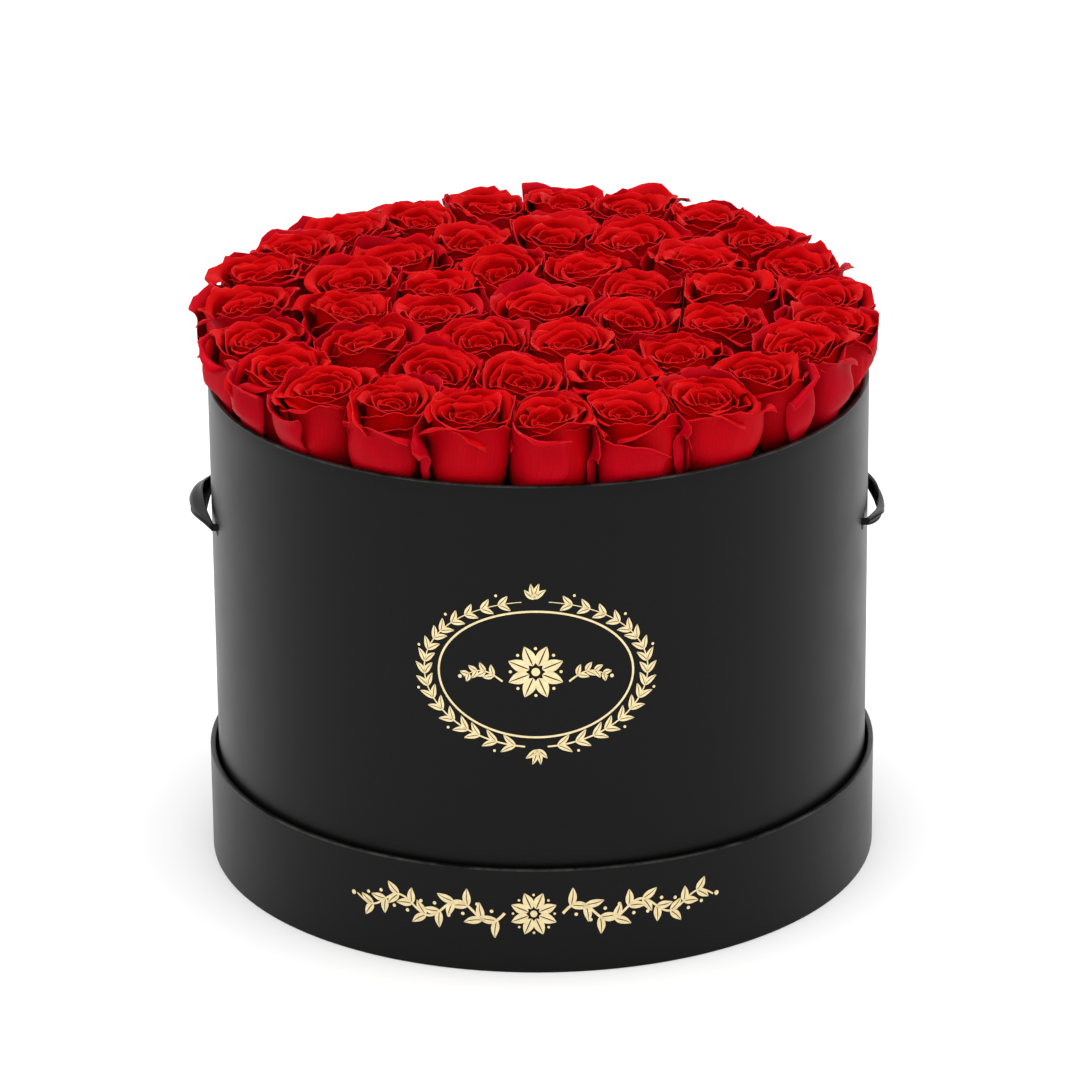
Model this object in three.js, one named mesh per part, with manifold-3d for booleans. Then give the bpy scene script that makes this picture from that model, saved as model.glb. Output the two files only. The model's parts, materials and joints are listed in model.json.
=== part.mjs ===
// Round paper-covered flower box filled with rose heads, standing in a shallow base tray.
// Millimetres, +Z up, origin at the centre of the tray's underside. -Y is the front.

import * as THREE from "three";
import { mergeVertices } from "three/addons/utils/BufferGeometryUtils.js";
import Module from "manifold-3d";

const wasm = await Module();
wasm.setup();

// ---- driving dimensions ----

const TRAY_RADIUS = 180;          // outside of the covered tray
const TRAY_HEIGHT = 58;
const BOX_RADIUS = 175.4;         // outside of the covered box
const BOX_RIM_Z = 267.4;          // top of the covered box wall, above the table
const PAPER = 0.4;                // covering paper
const GLUE = 0.1;                 // glue line between paper and board
const BOARD = 2.4;                // greyboard of walls and floors
const FIT = 0.2;                  // looseness between parts that rest on each other
const WALL_SEGMENTS = 64;
const HEAD_SEGMENTS = 10;

const TRAY_TURN_IN = 20;          // paper folded down inside the rims
const BOX_TURN_IN = 34;

const PLATFORM_Z = 150;           // top of the shelf that carries the foam
const PLATFORM_RADIUS = 170;
const RISER_RADIUS = 110;
const FOAM_TOP_Z = 240;
const FOAM_RADIUS = 158;

const HANDLE_Z = 194.5;           // height of the four ribbon holes
const HOLE_OFFSET = 40;           // holes stand this far in front of and behind the side
const HOLE_RADIUS = 4.5;
const HOLE_LENGTH = 40;           // of the cutter, more than the wall is thick
const HOLE_SEGMENTS = 16;
const PIVOT_X = 173.5;            // line through the two pinched ends of a loop
const LOOP_STAND_OFF = 12.6;      // how far the middle of the loop stands out from that line
const LOOP_HALF_WIDTH = 11;
const LOOP_HALF_THICKNESS = 1.6;
const LOOP_WIDENING = 1.6;        // power by which the loop widens from a pinch to its middle
const LOOP_STATIONS = 20;
const PINCH_RADIUS = 2.2;         // gathered ribbon where it enters a hole
const RUN_HALF_WIDTH = 7;         // ribbon along the inside of the wall, from knot to knot
const RUN_HALF_THICKNESS = 1.2;
const RUN_STATIONS = 12;
const RIBBON_SIDES = 8;
const KNOT_RADIUS = 6.5;
const KNOT_INSET = 0.7;           // a knot stands in from the run by this share of its radius
const KNOT_PULL = 1;              // each knot is drawn this much towards the other
const KNOT_SEGMENTS = [12, 8];
const PLUG_RADIUS = 3.2;          // gathered ribbon that fills a hole
const PLUG_SEGMENTS = 10;
const RIBBON_GAP = 0.4;           // between the inner run and what it lies against

const ROSE_RISE_TO_BACK = 0.045;  // the field of roses climbs this much per mm towards the back
const ROSE_FACING = 4;            // degrees by which every rose is turned towards the front
const ROSE_CROWN = 18;            // from the middle of a head up to its top
const ROSE_CUP = 30;              // from the middle of a head down to the calyx
const ROSE_UNEVENNESS = 2;        // heads stand this much higher or lower than their neighbours
const UNEVENNESS_STEP = 7.3;      // radians of the wave from one rose to the next
const SHOULDER_DROP = 2;          // from the middle of a head down to its widest level
const CALYX_NECK = 2;             // height over which the calyx narrows to the stem
const STEM_RADIUS = 2;
const STEM_DEPTH = 25;            // stem pushed into the foam
const STEM_HOLE_RADIUS = 3.2;
const STEM_HOLE_SEGMENTS = 6;
const STEM_HOLE_SPARE = 2;        // empty depth below a stem

// Outline of a head: share of its radius, then share of ROSE_CUP down or of ROSE_CROWN up.
const HEAD_CALYX = [0.34, 1];
const HEAD_BELLY = [0.82, 0.58];
const HEAD_SHOULDER = [0.97, 0.45];
const HEAD_LIP = [0.72, 0.92];

// Rings of roses from the middle outwards. The lean is outwards, in degrees.
const ROSE_RINGS = [
  { count: 1, radius: 6, headRadius: 21.6, top: 305, lean: 0, firstAzimuth: -75 },
  { count: 8, radius: 58, headRadius: 21.6, top: 305, lean: 1, firstAzimuth: -72 },
  { count: 14, radius: 102, headRadius: 22, top: 305, lean: 2, firstAzimuth: -95.5 },
  { count: 23, radius: 151.5, headRadius: 20.4, top: 305, lean: 3, firstAzimuth: -87.5 },
];

// ---- materials ----

const finish = (color, roughness, metalness = 0) => () =>
  new THREE.MeshStandardMaterial({ color, roughness, metalness });

const blackPaper = finish(0x0b0a0a, 0.42);
const greyboard = finish(0x8a8378, 0.9);
const floralFoam = finish(0x2f4a2c, 0.95);
const rosePetals = finish(0xa80612, 0.6);
const blackSatin = finish(0x0a0a0b, 0.35);

// ---- geometry helpers ----

// Solid of revolution about Z. Points are [radius, height]; a profile that leaves the axis closes on itself.
function turned(points, segments = WALL_SEGMENTS) {
  const profile = points.map(([radius, height]) => new THREE.Vector2(radius, height));
  if (points[0][0] > 0) {
    profile.push(profile[0].clone());
  }
  const geometry = new THREE.LatheGeometry(profile, segments);
  geometry.rotateX(Math.PI / 2);
  return geometry;
}

const disc = (radius, bottom, top) =>
  turned([[0, bottom], [radius, bottom], [radius, top], [0, top]]);

const ring = (innerRadius, outerRadius, bottom, top) =>
  turned([[innerRadius, bottom], [outerRadius, bottom], [outerRadius, top], [innerRadius, top]]);

// Covering paper: up the outside of a wall, over its rim and down inside by turnIn.
function wallCover(outerRadius, innerRadius, bottom, top, turnIn) {
  return turned([
    [outerRadius, bottom],
    [outerRadius, top],
    [innerRadius, top],
    [innerRadius, top - turnIn],
    [innerRadius + PAPER, top - turnIn],
    [innerRadius + PAPER, top - PAPER],
    [outerRadius - PAPER, top - PAPER],
    [outerRadius - PAPER, bottom],
  ]);
}

// Closed skin through a row of equal point loops, with a flat fan over each end. The loops turn
// anticlockwise as seen from the end of the row.
function loft(loops) {
  const perLoop = loops[0].length;
  const vertices = loops.flat();
  const lastLoop = (loops.length - 1) * perLoop;
  const index = [];
  for (let row = 0; row < loops.length - 1; row += 1) {
    for (let step = 0; step < perLoop; step += 1) {
      const a = row * perLoop + step;
      const b = row * perLoop + (step + 1) % perLoop;
      index.push(a, b + perLoop, b, a, a + perLoop, b + perLoop);
    }
  }
  for (let step = 1; step < perLoop - 1; step += 1) {
    index.push(0, step, step + 1);
    index.push(lastLoop, lastLoop + step + 1, lastLoop + step);
  }
  const geometry = new THREE.BufferGeometry();
  const positions = vertices.flatMap((vertex) => vertex.toArray());
  geometry.setAttribute("position", new THREE.Float32BufferAttribute(positions, 3));
  geometry.setIndex(index);
  return geometry;
}

const MERGE_DISTANCE = 1e-4;

function toSolid(geometry) {
  const bare = geometry.clone();
  bare.deleteAttribute("normal");
  bare.deleteAttribute("uv");
  const merged = mergeVertices(bare, MERGE_DISTANCE);
  return new wasm.Manifold(new wasm.Mesh({
    numProp: 3,
    vertProperties: new Float32Array(merged.getAttribute("position").array),
    triVerts: new Uint32Array(merged.getIndex().array),
  }));
}

function toGeometry(solid) {
  const { vertProperties, triVerts } = solid.getMesh();
  const geometry = new THREE.BufferGeometry();
  geometry.setAttribute("position", new THREE.Float32BufferAttribute(vertProperties, 3));
  geometry.setIndex(Array.from(triVerts));
  return geometry;
}

const cut = (geometry, cutters) => toGeometry(
  cutters.reduce((solid, cutter) => solid.subtract(toSolid(cutter)), toSolid(geometry)));

// ---- assembly helpers ----

const flowerBox = new THREE.Group();

function add(name, geometry, material, placement = new THREE.Matrix4()) {
  const mesh = new THREE.Mesh(geometry, material());
  mesh.name = name;
  mesh.applyMatrix4(placement);
  flowerBox.add(mesh);
}

// ---- base tray ----

function addTray() {
  const wallOuter = TRAY_RADIUS - PAPER - GLUE;
  const wallInner = wallOuter - BOARD;
  const coverInner = wallInner - GLUE - PAPER;
  add("tray_wall", ring(wallInner, wallOuter, 0, TRAY_HEIGHT - PAPER - GLUE), greyboard);
  add("tray_floor", disc(wallInner - GLUE, 0, BOARD), greyboard);
  add("tray_cover", wallCover(TRAY_RADIUS, coverInner, 0, TRAY_HEIGHT, TRAY_TURN_IN), blackPaper);
}

// ---- box shell ----

const boxBottom = BOARD + FIT;
const tubeOuter = BOX_RADIUS - PAPER - GLUE;
const tubeInner = tubeOuter - BOARD;

// Cylinders across the wall at the four places where the ribbon passes through.
function ribbonHoles() {
  return [-1, 1].flatMap((side) => [-1, 1].map((end) => {
    const hole = new THREE.CylinderGeometry(HOLE_RADIUS, HOLE_RADIUS, HOLE_LENGTH, HOLE_SEGMENTS);
    hole.rotateZ(Math.PI / 2);
    hole.translate(side * PIVOT_X, end * HOLE_OFFSET, HANDLE_Z);
    return hole;
  }));
}

function addBoxShell() {
  const coverInner = tubeInner - GLUE - PAPER;
  const tube = ring(tubeInner, tubeOuter, boxBottom, BOX_RIM_Z - PAPER - GLUE);
  const cover = wallCover(BOX_RADIUS, coverInner, boxBottom, BOX_RIM_Z, BOX_TURN_IN);
  add("box_tube", cut(tube, ribbonHoles()), greyboard);
  add("box_cover", cut(cover, ribbonHoles()), blackPaper);
  add("box_floor", disc(tubeInner - GLUE, boxBottom, boxBottom + BOARD), greyboard);
}

// ---- support inside the box ----

function addSupport(stemHoles) {
  const floorTop = boxBottom + BOARD + GLUE;
  const platformBottom = PLATFORM_Z - BOARD;
  add("riser_ring", ring(RISER_RADIUS - BOARD, RISER_RADIUS, floorTop, platformBottom - GLUE), greyboard);
  add("platform", disc(PLATFORM_RADIUS, platformBottom, PLATFORM_Z), greyboard);
  add("foam_block", cut(disc(FOAM_RADIUS, PLATFORM_Z + GLUE, FOAM_TOP_Z), stemHoles), floralFoam);
}

// ---- ribbon handles ----

// Eight-sided section across a ribbon whose run direction lies in the XY plane.
function ribbonSection(centre, outward, halfWidth, halfThickness) {
  return Array.from({ length: RIBBON_SIDES }, (_, step) => {
    const angle = 2 * Math.PI * (step + 0.5) / RIBBON_SIDES;
    return centre.clone()
      .addScaledVector(outward, halfThickness * Math.cos(angle))
      .add(new THREE.Vector3(0, 0, halfWidth * Math.sin(angle)));
  });
}

// Outer loop: pinched at both holes, standing away from the wall in between.
function handleLoop() {
  const loops = [];
  for (let station = 0; station <= LOOP_STATIONS; station += 1) {
    const phase = Math.PI * (station / LOOP_STATIONS - 0.5);
    const swell = Math.cos(phase);
    const along = HOLE_OFFSET * 2 * phase / Math.PI;
    const centre = new THREE.Vector3(PIVOT_X + LOOP_STAND_OFF * swell, along, HANDLE_Z);
    const slope = -LOOP_STAND_OFF * Math.sin(phase) * Math.PI / (2 * HOLE_OFFSET);
    const outward = new THREE.Vector3(1, -slope, 0).normalize();
    const halfWidth = PINCH_RADIUS + (LOOP_HALF_WIDTH - PINCH_RADIUS) * swell ** LOOP_WIDENING;
    const halfThickness = PINCH_RADIUS + (LOOP_HALF_THICKNESS - PINCH_RADIUS) * swell;
    loops.push(ribbonSection(centre, outward, halfWidth, halfThickness));
  }
  return loft(loops);
}

// Inner run: through each hole, knotted behind the wall, and along the inside from knot to knot.
function innerRun() {
  const runRadius = tubeInner - RIBBON_GAP - RUN_HALF_THICKNESS;
  const wallAzimuth = Math.asin(HOLE_OFFSET / runRadius);
  const loops = [];
  for (let station = 0; station <= RUN_STATIONS; station += 1) {
    const azimuth = wallAzimuth * (2 * station / RUN_STATIONS - 1);
    const outward = new THREE.Vector3(Math.cos(azimuth), Math.sin(azimuth), 0);
    const centre = outward.clone().multiplyScalar(runRadius).setZ(HANDLE_Z);
    loops.push(ribbonSection(centre, outward, RUN_HALF_WIDTH, RUN_HALF_THICKNESS));
  }
  const run = toSolid(loft(loops));
  const knotX = runRadius * Math.cos(wallAzimuth) - KNOT_RADIUS * KNOT_INSET;
  const plugEnd = PIVOT_X - PINCH_RADIUS - RIBBON_GAP;
  return toGeometry([-1, 1].reduce((solid, end) => {
    const knot = new THREE.SphereGeometry(KNOT_RADIUS, ...KNOT_SEGMENTS);
    knot.translate(knotX, end * (HOLE_OFFSET - KNOT_PULL), HANDLE_Z);
    const plug = new THREE.CylinderGeometry(PLUG_RADIUS, PLUG_RADIUS, plugEnd - knotX, PLUG_SEGMENTS);
    plug.rotateZ(Math.PI / 2);
    plug.translate((plugEnd + knotX) / 2, end * HOLE_OFFSET, HANDLE_Z);
    return solid.add(toSolid(knot)).add(toSolid(plug));
  }, run));
}

function addRibbons() {
  const sides = [["left", Math.PI], ["right", 0]];
  for (const [side, turn] of sides) {
    const placement = new THREE.Matrix4().makeRotationZ(turn);
    add(`ribbon_handle_${side}`, handleLoop(), blackSatin, placement);
    add(`ribbon_inner_${side}`, innerRun(), blackSatin, placement);
  }
}

// ---- roses ----

// Rose head with calyx and stem. Local origin in the middle of the head, on its axis.
function roseSolid(headRadius, stemEnd) {
  return turned([
    [0, stemEnd],
    [STEM_RADIUS, stemEnd],
    [STEM_RADIUS, -ROSE_CUP - CALYX_NECK],
    ...[HEAD_CALYX, HEAD_BELLY].map(([width, down]) => [headRadius * width, -ROSE_CUP * down]),
    [headRadius, -SHOULDER_DROP],
    ...[HEAD_SHOULDER, HEAD_LIP].map(([width, up]) => [headRadius * width, ROSE_CROWN * up]),
    [0, ROSE_CROWN],
  ], HEAD_SEGMENTS);
}

// Place, lean and stem length of every rose, ring by ring.
function roseLayout() {
  const roses = [];
  for (const { count, radius, headRadius, top, lean, firstAzimuth } of ROSE_RINGS) {
    const outwards = Math.tan(THREE.MathUtils.degToRad(lean));
    const forwards = Math.tan(THREE.MathUtils.degToRad(ROSE_FACING));
    for (let step = 0; step < count; step += 1) {
      const unevenness = ROSE_UNEVENNESS * Math.sin(UNEVENNESS_STEP * roses.length);
      const azimuth = THREE.MathUtils.degToRad(firstAzimuth + 360 * step / count);
      const x = radius * Math.cos(azimuth);
      const y = radius * Math.sin(azimuth);
      const axis = new THREE.Vector3(
        outwards * Math.cos(azimuth), outwards * Math.sin(azimuth) - forwards, 1).normalize();
      const middleZ = top - ROSE_CROWN * axis.z + ROSE_RISE_TO_BACK * y + unevenness;
      const stemEnd = -(middleZ - FOAM_TOP_Z + STEM_DEPTH) / axis.z;
      const placement = new THREE.Matrix4().compose(
        new THREE.Vector3(x, y, middleZ),
        new THREE.Quaternion().setFromUnitVectors(new THREE.Vector3(0, 0, 1), axis),
        new THREE.Vector3(1, 1, 1));
      roses.push({ headRadius, stemEnd, placement });
    }
  }
  return roses;
}

function stemHole({ stemEnd, placement }) {
  const length = ROSE_CUP - stemEnd;
  const hole = new THREE.CylinderGeometry(STEM_HOLE_RADIUS, STEM_HOLE_RADIUS, length, STEM_HOLE_SEGMENTS);
  hole.rotateX(Math.PI / 2);
  hole.translate(0, 0, stemEnd - STEM_HOLE_SPARE + length / 2);
  hole.applyMatrix4(placement);
  return hole;
}

function addRoses(roses) {
  roses.forEach(({ headRadius, stemEnd, placement }, index) => {
    const name = `rose_${String(index + 1).padStart(2, "0")}`;
    add(name, roseSolid(headRadius, stemEnd), rosePetals, placement);
  });
}

// ---- the whole object ----

const roses = roseLayout();
addTray();
addBoxShell();
addSupport(roses.map(stemHole));
addRibbons();
addRoses(roses);

export default flowerBox;
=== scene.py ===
"""Round black flower box with gold foil decoration, ribbon handles and a field of red roses.

Metres, +Z up, the front faces -Y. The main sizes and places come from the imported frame, and the finer
ones are named above the functions that use them.
"""
import json
import math

import bmesh
import bpy
import numpy as np
from mathutils import Matrix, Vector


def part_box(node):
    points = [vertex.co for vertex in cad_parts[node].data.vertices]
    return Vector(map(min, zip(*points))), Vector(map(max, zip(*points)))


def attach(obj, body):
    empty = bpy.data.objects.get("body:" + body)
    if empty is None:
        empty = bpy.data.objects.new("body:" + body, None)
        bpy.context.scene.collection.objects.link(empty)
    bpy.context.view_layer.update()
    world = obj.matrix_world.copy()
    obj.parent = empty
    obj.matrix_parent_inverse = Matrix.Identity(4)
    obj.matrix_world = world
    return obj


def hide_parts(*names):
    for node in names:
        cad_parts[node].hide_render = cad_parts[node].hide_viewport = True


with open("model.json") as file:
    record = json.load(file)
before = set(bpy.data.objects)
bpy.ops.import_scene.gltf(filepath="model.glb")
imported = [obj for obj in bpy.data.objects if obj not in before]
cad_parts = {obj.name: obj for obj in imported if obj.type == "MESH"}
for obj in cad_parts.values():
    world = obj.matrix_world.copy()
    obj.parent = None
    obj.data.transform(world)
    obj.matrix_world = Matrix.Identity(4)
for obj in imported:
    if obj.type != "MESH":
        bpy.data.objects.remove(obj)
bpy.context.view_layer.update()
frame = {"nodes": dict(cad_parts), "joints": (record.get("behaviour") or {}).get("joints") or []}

MM = 0.001
ANY_PHASE = 6.3                   # radians, just over a full turn


# ---------------------------------------------------------------- main sizes and places

def cover_size(node):
    """Outer radius, lowest and highest level of a round CAD cover."""
    low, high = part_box(node)
    return high.x, low.z, high.z


BOX_RADIUS, BOX_BOTTOM, BOX_RIM = cover_size("box_cover")
TRAY_RADIUS, TRAY_BOTTOM, TRAY_RIM = cover_size("tray_cover")
PAPER = 0.4 * MM
WALL = 3.4 * MM                  # board and paper together
ROSE_NODES = sorted(name for name in frame["nodes"] if name.startswith("rose_"))
SWING = next(joint for joint in frame["joints"] if joint["name"] == "handle_right_swing")
PIVOT_X, _, HOLE_HEIGHT = SWING["pos_m"]


# ---------------------------------------------------------------- small helpers

def lerp(a, b, t):
    return a + (b - a) * t


def smoothstep(low, high, x):
    t = np.clip((x - low) / (high - low), 0.0, 1.0)
    return t * t * (3.0 - 2.0 * t)


def any_phase(rng):
    return rng.uniform(0, ANY_PHASE)


def new_mesh(name, vertices, quads, smooth=True):
    """Mesh object from an (n, 3) array of points and an (m, 4) array of corners."""
    mesh = bpy.data.meshes.new(name)
    mesh.vertices.add(len(vertices))
    mesh.vertices.foreach_set("co", np.asarray(vertices, np.float32).ravel())
    mesh.loops.add(quads.size)
    mesh.loops.foreach_set("vertex_index", quads.astype(np.int32).ravel())
    mesh.polygons.add(len(quads))
    mesh.polygons.foreach_set("loop_start", np.arange(0, quads.size, 4, dtype=np.int32))
    mesh.polygons.foreach_set("use_smooth", np.full(len(quads), smooth))
    mesh.update(calc_edges=True)
    obj = bpy.data.objects.new(name, mesh)
    bpy.context.scene.collection.objects.link(obj)
    return obj


def set_uv(obj, quads, coords):
    """UV map from one (u, v) pair for each vertex."""
    layer = obj.data.uv_layers.new(name="UVMap")
    layer.data.foreach_set("uv", np.asarray(coords, np.float32)[quads.ravel()].ravel())


def set_attribute(obj, name, values):
    """One number for each vertex, for a material to read."""
    layer = obj.data.attributes.new(name, "FLOAT", "POINT")
    layer.data.foreach_set("value", np.asarray(values, np.float32))


def grid_quads(rows, columns, closed=False):
    """Corners of the quads of a grid of points; closed joins the last column to the first."""
    spans = columns if closed else columns - 1
    row, column = np.meshgrid(np.arange(rows - 1), np.arange(spans), indexing="ij")
    following = (column + 1) % columns
    a = row * columns + column
    b = row * columns + following
    return np.stack([a, b, b + columns, a + columns], -1).reshape(-1, 4)


def shell_quads(rows, columns):
    """Quads of a closed thin shell: a front grid, an equal back grid and the band that joins them."""
    count = rows * columns
    front = grid_quads(rows, columns)
    back = front[:, ::-1] + count
    index = np.arange(count).reshape(rows, columns)
    border = np.concatenate([
        index[0, :-1], index[:-1, -1], index[-1, :0:-1], index[:0:-1, 0]])
    following = np.roll(border, -1)
    band = np.stack([following, border, border + count, following + count], -1)
    return np.concatenate([front, back, band])


def grid_normals(points):
    """Unit normals of a (rows, columns, 3) grid of points."""
    across = np.gradient(points, axis=1)
    along = np.gradient(points, axis=0)
    normal = np.cross(across, along)
    return normal / np.maximum(np.linalg.norm(normal, axis=-1, keepdims=True), 1e-12)


# ---------------------------------------------------------------- roses

PETALS = 21
GOLDEN_ANGLE = math.radians(137.5)
PETAL_COLUMNS = 17
BLADE_ROWS = 9
ROLL_ROWS = 5
PETAL_THICKNESS = 0.45 * MM
REACH_OVER_RIM = 8.0 * MM         # how far the outer petals may stand out beyond the wall
REACH_LESS_RIGHT = 3.5 * MM       # and how much less than that on the right and at the back
REACH_LESS_BACK = 2.5 * MM
NEIGHBOUR_RANGE = 70 * MM
SQUEEZE = 3.0 * MM                # depth over which petals give way to a neighbour
NEIGHBOUR_GAP = 0.2 * MM
WALL_GAP = 1.0 * MM               # from the petals to the wall, below the rim
SPREAD_START = -1 * MM            # heights about the rim between which the petals spread outwards
SPREAD_END = 16 * MM
STEM_SIDES = 8
STEM_RADIUS = 2.0 * MM
SEPALS = 5
SEPAL_ROWS = 6
SEPAL_COLUMNS = 5
SEPAL_THICKNESS = 0.04            # in head radii
STEM_END_REACH = 6 * MM           # CAD points this near the lowest one belong to the stem's end
HEAD_SHARE = 0.6                  # and those beyond this share of the rose's length belong to its head
WIDEST_SHARE = 0.995

# Height of the lip, in head radii above the widest level, from the bud's core (0) to the last petal (1)
LIP_STAGES = [0.0, 0.25, 0.5, 0.72, 0.86, 1.0]
LIP_HEIGHTS = [0.60, 0.71, 0.76, 0.77, 0.74, 0.67]


class RoseFrame:
    """Axis and size of one rose, measured on its CAD solid."""

    def __init__(self, node):
        mesh = frame["nodes"][node].data
        points = np.zeros(len(mesh.vertices) * 3, np.float32)
        mesh.vertices.foreach_get("co", points)
        points = np.unique(points.reshape(-1, 3).round(6), axis=0).astype(float)
        lowest = points[points[:, 2].argmin()]
        distance = np.linalg.norm(points - lowest, axis=1)
        stem_end = points[distance < STEM_END_REACH].mean(0)
        head = points[distance > HEAD_SHARE * distance.max()].mean(0)
        self.axis = (head - stem_end) / np.linalg.norm(head - stem_end)
        height = (points - stem_end) @ self.axis
        radial = np.linalg.norm(points - stem_end - np.outer(height, self.axis), axis=1)
        self.radius = radial.max()
        widest = height[radial > WIDEST_SHARE * self.radius].mean()
        self.centre = stem_end + self.axis * widest
        self.stem = widest / self.radius
        side = np.cross([0.0, 1.0, 0.0], self.axis)
        self.side = side / np.linalg.norm(side)
        self.back = np.cross(self.axis, self.side)

    def to_world(self, local):
        basis = np.stack([self.side, self.back, self.axis])
        return self.centre + (local * self.radius) @ basis


def petal_points(rng, ripeness, azimuth, openness):
    """Front grid of one petal in head radii, how close each point is to the margin, and its UV.

    Ripeness runs from 0 at the bud's core to 1 at the outermost petal, and so does every lerp on it.
    """
    u = np.linspace(-1.0, 1.0, PETAL_COLUMNS)[None, :]
    blade = np.linspace(0.0, 1.0, BLADE_ROWS)[:, None]
    half_angle = lerp(2.5, 0.98, ripeness ** 0.6) * rng.uniform(0.88, 1.10)
    rim = (0.07 + openness * ripeness ** 1.15) * rng.uniform(0.95, 1.05)
    fallen = 0.34 * rng.uniform(0, 1) ** 2 * smoothstep(0.7, 0.95, ripeness)
    lip = np.interp(ripeness, LIP_STAGES, LIP_HEIGHTS) + rng.uniform(-0.05, 0.05) - fallen
    base = lerp(-0.20, -1.35, ripeness)

    # blade profile as a cubic curve in (distance from the axis, height), for each column
    skew = rng.uniform(-0.35, 0.35)
    drop = lerp(0.06, 0.36, ripeness) * np.abs(u - skew * u ** 2) ** 2.2
    tip = lerp(0.0, 0.12, ripeness) * np.exp(-((u - 0.3 * skew) / 0.2) ** 2)
    top = lip - drop + tip
    r0, z0 = rim * lerp(0.8, 0.30, ripeness), base
    r1, z1 = rim * lerp(0.9, 1.10, ripeness), lerp(base, top, 0.18)
    r2, z2 = rim * lerp(0.97, 1.05, ripeness), lerp(base, top, 0.72)
    r3, z3 = rim * lerp(1.0, 0.99, ripeness), top
    radial = ((1 - blade) ** 3 * r0 + 3 * (1 - blade) ** 2 * blade * r1
              + 3 * (1 - blade) * blade ** 2 * r2 + blade ** 3 * r3) + 0 * u
    height = ((1 - blade) ** 3 * z0 + 3 * (1 - blade) ** 2 * blade * z1
              + 3 * (1 - blade) * blade ** 2 * z2 + blade ** 3 * z3)

    # rolled margin: an arc that carries the blade on outwards, tighter at the sides than at the tip
    roll_radius = lerp(0.04, 0.27, ripeness) * rng.uniform(0.75, 1.25)
    roll = lerp(0.45, 1.70, ripeness ** 0.7) * (0.60 + 0.60 * smoothstep(0.05, 0.75, np.abs(u)))
    roll = roll * (1 + 0.35 * np.sin(2.6 * u + any_phase(rng)))
    slope_r, slope_z = r3 - r2, z3 - z2
    length = np.sqrt(slope_r ** 2 + slope_z ** 2)
    dir_r, dir_z = slope_r / length, slope_z / length
    turn = roll * np.linspace(0.0, 1.0, ROLL_ROWS + 1)[1:, None]
    onward, aside = np.sin(turn), 1 - np.cos(turn)
    radial = np.concatenate([radial, r3 + roll_radius * (onward * dir_r + aside * dir_z)])
    height = np.concatenate([height, z3 + roll_radius * (onward * dir_z - aside * dir_r)])

    # wrap round the axis; one side of the petal tucks inside its neighbour
    v = np.linspace(0.0, 1.0, BLADE_ROWS + ROLL_ROWS)[:, None]
    theta = azimuth + half_angle * u * lerp(0.5, 1.0, smoothstep(0.0, 0.5, v))
    ruffle = lerp(0.02, 0.06, ripeness) * v ** 2 * np.sin(rng.uniform(3, 6) * u + any_phase(rng))
    wrinkle = lerp(0.004, 0.013, ripeness) * v * np.sin(rng.uniform(11, 15) * u + any_phase(rng) + 2 * v)
    ragged = lerp(0.008, 0.034, ripeness) * v ** 5 * rng.normal(0, 1, PETAL_COLUMNS)
    crease = lerp(0.03, 0.05, ripeness) * v * np.exp(-((u - rng.uniform(-0.5, 0.5)) / 0.22) ** 2)
    radial = radial * (1 + lerp(0.20, 0.07, ripeness) * u + ruffle + wrinkle + crease)
    height = height + ragged + 0.04 * v ** 2 * np.sin(rng.uniform(3, 7) * u + any_phase(rng))
    points = np.stack([radial * np.cos(theta), radial * np.sin(theta), height], -1)
    side_margin = smoothstep(0.88, 1.0, np.abs(u)) * smoothstep(0.3, 0.6, v)
    margin = np.maximum(smoothstep(0.72, 1.0, v), side_margin)
    coords = np.stack([u * half_angle + 0 * v, v + 0 * u], -1)
    return points, margin, coords


class Habit:
    """What makes one rose differ from the next: an uneven outline and a small tilt."""

    def __init__(self, rng):
        self.phases = rng.uniform(0, ANY_PHASE, 4)[:2]       # the other two draws are spare
        self.waves = rng.uniform(2.4, 4.0, 2)
        self.stretch = rng.uniform(-0.06, 0.06)
        self.tilt = rng.uniform(-0.08, 0.08, 2)
        self.size = rng.uniform(1.02, 1.11)

    def apply(self, local):
        x, y, z = np.moveaxis(local * self.size, -1, 0)
        reach = 0.065 * smoothstep(-1.2, 0.3, z)
        wave_x, wave_y = self.waves
        phase_x, phase_y = self.phases
        warped_x = x * (1 + self.stretch) + reach * np.sin(wave_x * y + 2 * z + phase_x)
        warped_y = y * (1 - self.stretch) + reach * np.sin(wave_y * x + 2 * z + phase_y)
        leaned_x = warped_x + self.tilt[0] * (z + 1)
        leaned_y = warped_y + self.tilt[1] * (z + 1)
        leaned_z = z - self.tilt[0] * warped_x - self.tilt[1] * warped_y
        return np.stack([leaned_x, leaned_y, leaned_z], -1)


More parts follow.
